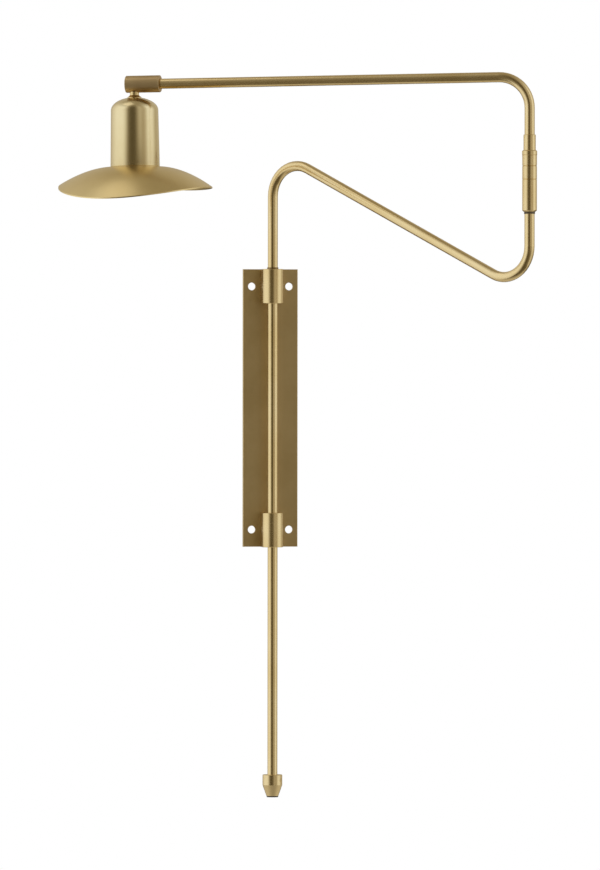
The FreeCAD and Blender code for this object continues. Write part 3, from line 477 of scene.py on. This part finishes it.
def make_screw_shell():
    """The lampholder's screw shell: thin brass rolled into a round thread, with a bead at its mouth."""
    low, high, reach = turned_extent("lampholder_shell")
    middle = reach - THREAD_DEPTH / 2
    arc = THREAD_PITCH / 4
    upright = (math.pi / 2, 0, 0)
    deselect_all()
    bpy.ops.mesh.primitive_circle_add(vertices=THREAD_POINTS, radius=arc, rotation=upright,
                                      location=(0, 0, arc))
    shell = start_piece("screw_shell")
    pick(shell, lambda spot: spot.x < -SEAM)
    bpy.ops.mesh.delete(type="VERT")
    bpy.ops.mesh.primitive_circle_add(vertices=THREAD_POINTS, radius=arc, rotation=upright,
                                      location=(0, 0, -arc))
    pick(shell, lambda spot: spot.z < 0 and spot.x > SEAM)
    bpy.ops.mesh.delete(type="VERT")
    bpy.ops.mesh.select_all(action="SELECT")
    bpy.ops.mesh.remove_doubles(threshold=MERGE)
    bpy.ops.transform.resize(value=(THREAD_DEPTH / (2 * arc), 1, 1), center_override=(0, 0, 0))
    bpy.ops.transform.translate(value=(middle, 0, low - THREAD_PITCH))
    bpy.ops.object.mode_set(mode="OBJECT")
    turns = math.ceil((high - low) / THREAD_PITCH) + SPARE_TURNS
    apply_modifier(shell, "SCREW", axis="Z", angle=2 * math.pi, screw_offset=THREAD_PITCH, iterations=turns,
                   steps=TURN_STEPS, render_steps=TURN_STEPS, use_merge_vertices=False)
    bpy.ops.object.mode_set(mode="EDIT")
    bpy.ops.mesh.select_all(action="SELECT")
    bpy.ops.mesh.remove_doubles(threshold=MERGE)
    bpy.ops.mesh.bisect(plane_co=(0, 0, low + SHELL_WALL), plane_no=(0, 0, 1), clear_inner=True)
    bpy.ops.mesh.select_all(action="SELECT")
    bpy.ops.mesh.bisect(plane_co=(0, 0, high - SHELL_WALL), plane_no=(0, 0, 1), clear_outer=True)
    close_piece(THREAD_SMOOTH)
    apply_modifier(shell, "SOLIDIFY", thickness=SHELL_WALL, offset=0.0)
    deselect_all()
    bpy.ops.mesh.primitive_torus_add(major_segments=TURN_STEPS, minor_segments=BEAD_SIDES,
                                     major_radius=middle, minor_radius=THREAD_DEPTH,
                                     location=(0, 0, low + THREAD_DEPTH))
    bead = bpy.context.object
    bpy.ops.object.transform_apply(location=True, rotation=True, scale=True)
    bpy.ops.object.shade_smooth()
    shell.select_set(True)
    bead.select_set(True)
    bpy.context.view_layer.objects.active = shell
    bpy.ops.object.join()
    dress(shell, "lampholder_shell", HEAD_PLACE)


def make_ribbed_ring():
    """The moulded ring that clamps the dish, with ribs to grip it by."""
    low, high, reach = turned_extent("shade_ring")
    bore = turned_extent("lampholder_skirt")[2]
    points = RING_RIBS * RIB_POINTS
    step = 2 * math.pi / points
    groove = 1 - RIB_DEPTH / reach
    deselect_all()
    bpy.ops.mesh.primitive_circle_add(vertices=points, radius=reach, location=(0, 0, low))
    ring = start_piece("ribbed_ring")
    pick(ring, lambda spot: round(math.atan2(spot.y, spot.x) / step) % RIB_POINTS in (0, 1))
    bpy.ops.transform.resize(value=(groove, groove, 1), center_override=(0, 0, 0))
    bpy.ops.mesh.select_all(action="SELECT")
    extrude_to(high - low)
    extrude_to(scale=bore / reach)
    extrude_to(low - high)
    pick(ring, lambda spot: spot.z < low + SEAM)
    bpy.ops.mesh.select_mode(type="EDGE")
    bpy.ops.mesh.bridge_edge_loops()
    close_piece(RIB_SMOOTH)
    soften_edges(ring, RIB_EDGE, RIB_EDGE_SEGMENTS, RIB_EDGE_ANGLE)
    dress(ring, "shade_ring", HEAD_PLACE)


make_cup()
make_screw_shell()
make_ribbed_ring()


# ---------------------------------------------------------------- floor, backdrop and light

WHITE = (1.0, 1.0, 1.0)
ROOM = (0.28, 0.27, 0.26)

# The floor: how far below the lamp, how wide, its matt grey, and the greys that metal mirrors from
# its front and from near the lamp, with the two places along y that they fade between.
FLOOR_DROP = 0.25
FLOOR_SIZE = 1.6
FLOOR_GREY = (0.8, 0.8, 0.8)
FLOOR_FRONT = 0.12
FLOOR_NEAR = 0.62
FLOOR_FADE = (-0.52, -0.14)

# Large soft boxes: place, width and height, and power. Each faces the lamp's middle.
LAMP_MIDDLE = (0, -0.1, 0)
SOFT_BOXES = {
    "left_box": ((-1.9, -1.3, 0.3), (0.9, 2.4), 34),
    "right_box": ((2.0, -1.2, 0.3), (0.9, 2.4), 30),
    "top_box": ((0.0, -0.6, 2.0), (1.6, 1.2), 16),
}

# A small one above the dish, which the dish mirrors.
SHADE_BOX_SPOT = (-0.40, -0.12, 1.00)
SHADE_BOX_AIM = (-0.145, -0.10, 0.22)
SHADE_BOX_SIZE = (0.45, 0.35)
SHADE_BOX_POWER = 0.26

# Brightness of the room round the lamp as metal mirrors it, by degrees from the camera, left
# negative: the walls above the horizon, those below it, and the ceiling.
WALLS = [(-180, 0.50), (-150, 0.56), (-128, 0.80), (-95, 1.0), (-55, 1.0), (-42, 0.75), (-31, 0.22),
         (-20, 0.10), (3, 0.10), (14, 0.36), (26, 0.64), (42, 0.42), (56, 0.60), (67, 1.0),
         (95, 0.95), (116, 0.50), (150, 0.58), (180, 0.50)]
LOW_WALLS = [(-180, 0.08), (-140, 0.25), (-110, 0.9), (-55, 0.9), (-35, 0.20), (-20, 0.10), (20, 0.14),
             (50, 0.35), (70, 0.8), (110, 0.5), (140, 0.12), (180, 0.08)]
CEILING = 0.32

# Where the low walls and the ceiling fade in, as sines of the angle above the horizon.
LOW_START = (-0.22, -0.05)
CEILING_RISE = (0.60, 1.00)

# The share of green and of blue in a dark grey, and how fast each grows with the grey's level.
GREEN_SHARE = (0.80, 0.25)
BLUE_SHARE = (0.42, 0.70)


def tint(level):
    """A grey level as light: warm where it is dark, and a little cool where it is brightest."""
    green = level * (GREEN_SHARE[0] + GREEN_SHARE[1] * level)
    blue = level * (BLUE_SHARE[0] + BLUE_SHARE[1] * level)
    return (level, green, blue)


def emitter(tree, kind, colour):
    """A shader of a kind that gives off a colour as it is written."""
    node = tree.nodes.new(kind)
    node.inputs["Color"].default_value = (*colour, 1)
    node.inputs["Strength"].default_value = 1.0
    return node


def mix_shader(tree, factor, first, second):
    """One shader over another."""
    mix = tree.nodes.new("ShaderNodeMixShader")
    tree.links.new(factor, mix.inputs[0])
    tree.links.new(first, mix.inputs[1])
    tree.links.new(second, mix.inputs[2])
    return mix.outputs[0]


def by_ray(tree, kind, other, mirrored):
    """White to the camera and through glass, mirrored in metal, and other to every other ray."""
    path = tree.nodes.new("ShaderNodeLightPath")
    plain = emitter(tree, kind, WHITE).outputs[0]
    in_metal = mix_shader(tree, path.outputs["Is Glossy Ray"], other.outputs[0], mirrored.outputs[0])
    in_glass = mix_shader(tree, path.outputs["Is Transmission Ray"], in_metal, plain)
    return mix_shader(tree, path.outputs["Is Camera Ray"], in_glass, plain)


def backdrop_material():
    """The floor: matt and pale, white to the camera, darker towards its front in metal."""
    material, tree, shader = new_material("studio_white")
    tree.nodes.remove(shader)
    output = tree.nodes["Material Output"]
    matte = tree.nodes.new("ShaderNodeBsdfDiffuse")
    matte.inputs["Color"].default_value = (*FLOOR_GREY, 1)
    mirrored = emitter(tree, "ShaderNodeEmission", WHITE)
    parts = tree.nodes.new("ShaderNodeSeparateXYZ")
    tree.links.new(object_coordinates(tree), parts.inputs["Vector"])
    near = spread(tree, parts.outputs["Y"], *FLOOR_FADE, 0.0, 1.0)
    tree.links.new(mix_colour(tree, near, tint(FLOOR_FRONT), tint(FLOOR_NEAR)), mirrored.inputs["Color"])
    shown = by_ray(tree, "ShaderNodeEmission", matte, mirrored)
    tree.links.new(shown, output.inputs["Surface"])
    return material


def make_floor():
    """A pale floor under the lamp, small enough to leave the horizon to the surroundings."""
    deselect_all()
    floor_height = CAD_BOX[0][2] - FLOOR_DROP
    bpy.ops.mesh.primitive_plane_add(size=FLOOR_SIZE, location=(0, 0, floor_height))
    floor = bpy.context.object
    floor.name = "studio_floor"
    floor.data.materials.append(backdrop_material())


def area_light(name, spot, target, size, power, in_metal=False):
    """A soft box. Where it doesn't show in metal, the surroundings take its place there."""
    data = bpy.data.lights.new(name, "AREA")
    data.shape = "RECTANGLE"
    data.size, data.size_y = size
    data.energy = power
    light = bpy.data.objects.new(name, data)
    bpy.context.scene.collection.objects.link(light)
    light.visible_glossy = in_metal
    aim = (Vector(target) - Vector(spot)).to_track_quat("-Z", "Y")
    light.location = spot
    light.rotation_euler = aim.to_euler()


def wall_light(tree, share, walls):
    """The light of the walls, where share goes once round the room from behind the lamp."""
    return ramp(tree, share, [((degrees + 180.0) / 360.0, tint(level)) for degrees, level in walls])


def surroundings(tree):
    """The studio as metal shows it: bright walls left and right, a dark room in front."""
    source = tree.nodes.new("ShaderNodeTexCoord")
    spin = tree.nodes.new("ShaderNodeMapping")
    spin.vector_type = "POINT"
    spin.inputs["Rotation"].default_value = (0, 0, -VIEW_TURN)
    tree.links.new(source.outputs["Generated"], spin.inputs["Vector"])
    parts = tree.nodes.new("ShaderNodeSeparateXYZ")
    tree.links.new(spin.outputs["Vector"], parts.inputs["Vector"])
    towards = maths(tree, "MULTIPLY", parts.outputs["Y"], -1.0)
    angle = maths(tree, "ARCTAN2", parts.outputs["X"], towards)
    share = spread(tree, angle, -math.pi, math.pi, 0.0, 1.0)
    depth = spread(tree, parts.outputs["Z"], *LOW_START, 1.0, 0.0)
    around = wall_light(tree, share, WALLS)
    below = wall_light(tree, share, LOW_WALLS)
    level = mix_colour(tree, depth, around, below)
    height = spread(tree, parts.outputs["Z"], *CEILING_RISE, 0.0, 1.0)
    return mix_colour(tree, height, level, tint(CEILING))


def make_light():
    """Two tall soft boxes at the sides, one above and a small one for the dish, in a plain room."""
    for name, (spot, size, power) in SOFT_BOXES.items():
        area_light(name, spot, LAMP_MIDDLE, size, power)
    area_light("shade_box", SHADE_BOX_SPOT, SHADE_BOX_AIM, SHADE_BOX_SIZE, SHADE_BOX_POWER, in_metal=True)
    world = bpy.data.worlds.new("studio_world")
    bpy.context.scene.world = world
    world.use_nodes = True
    tree = world.node_tree
    tree.nodes.clear()
    output = tree.nodes.new("ShaderNodeOutputWorld")
    room = emitter(tree, "ShaderNodeBackground", ROOM)
    mirrored = emitter(tree, "ShaderNodeBackground", WHITE)
    tree.links.new(surroundings(tree), mirrored.inputs["Color"])
    shown = by_ray(tree, "ShaderNodeBackground", room, mirrored)
    tree.links.new(shown, output.inputs["Surface"])


make_floor()
make_light()
bpy.context.scene.view_settings.view_transform = "Standard"
